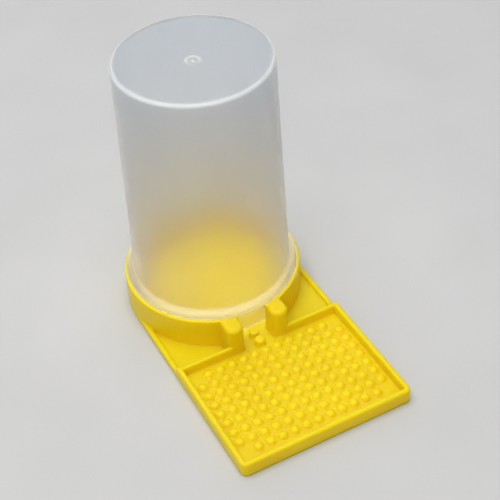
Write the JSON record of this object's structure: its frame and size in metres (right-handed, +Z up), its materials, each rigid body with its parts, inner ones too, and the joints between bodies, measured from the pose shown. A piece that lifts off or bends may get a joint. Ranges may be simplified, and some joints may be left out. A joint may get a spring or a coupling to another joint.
{
  "type": "bee entrance feeder",
  "caption": "Beehive entrance feeder: frosted syrup cup standing mouth down in the round socket of a moulded base with a studded feeding tray.",
  "frame": {"origin": "on the cup's axis, at the underside of the base", "axes": "+Z up along the cup's axis, the feeding tray reaches towards -Y, +X to the right seen from the tray"},
  "size_m": [0.0852, 0.1543, 0.1342],
  "materials": {
    "base_plastic": "yellow moulded polypropylene, soft gloss with rounded edges",
    "cup_plastic": "natural frosted polypropylene, translucent"
  },
  "bodies": {
    "base": {"base_floor": "base_plastic", "socket_ring": "base_plastic", "gate_post_left": "base_plastic", "gate_post_right": "base_plastic", "tray_floor": "base_plastic", "tray_rim": "base_plastic", "cross_wall_left": "base_plastic", "cross_wall_right": "base_plastic", "apron_rail_left": "base_plastic", "apron_rail_right": "base_plastic", "tray_studs": "base_plastic", "gate_pegs": "base_plastic"},
    "cup": {"cup_wall": "cup_plastic", "cup_end": "cup_plastic", "cup_flange": "cup_plastic", "cup_skirt": "cup_plastic"}
  },
  "joints": [
    {"name": "cup_lift", "type": "slide", "parent": "base", "child": "cup", "axis": [0, 0, 1], "range_m": [0, 0.04]}
  ]
}
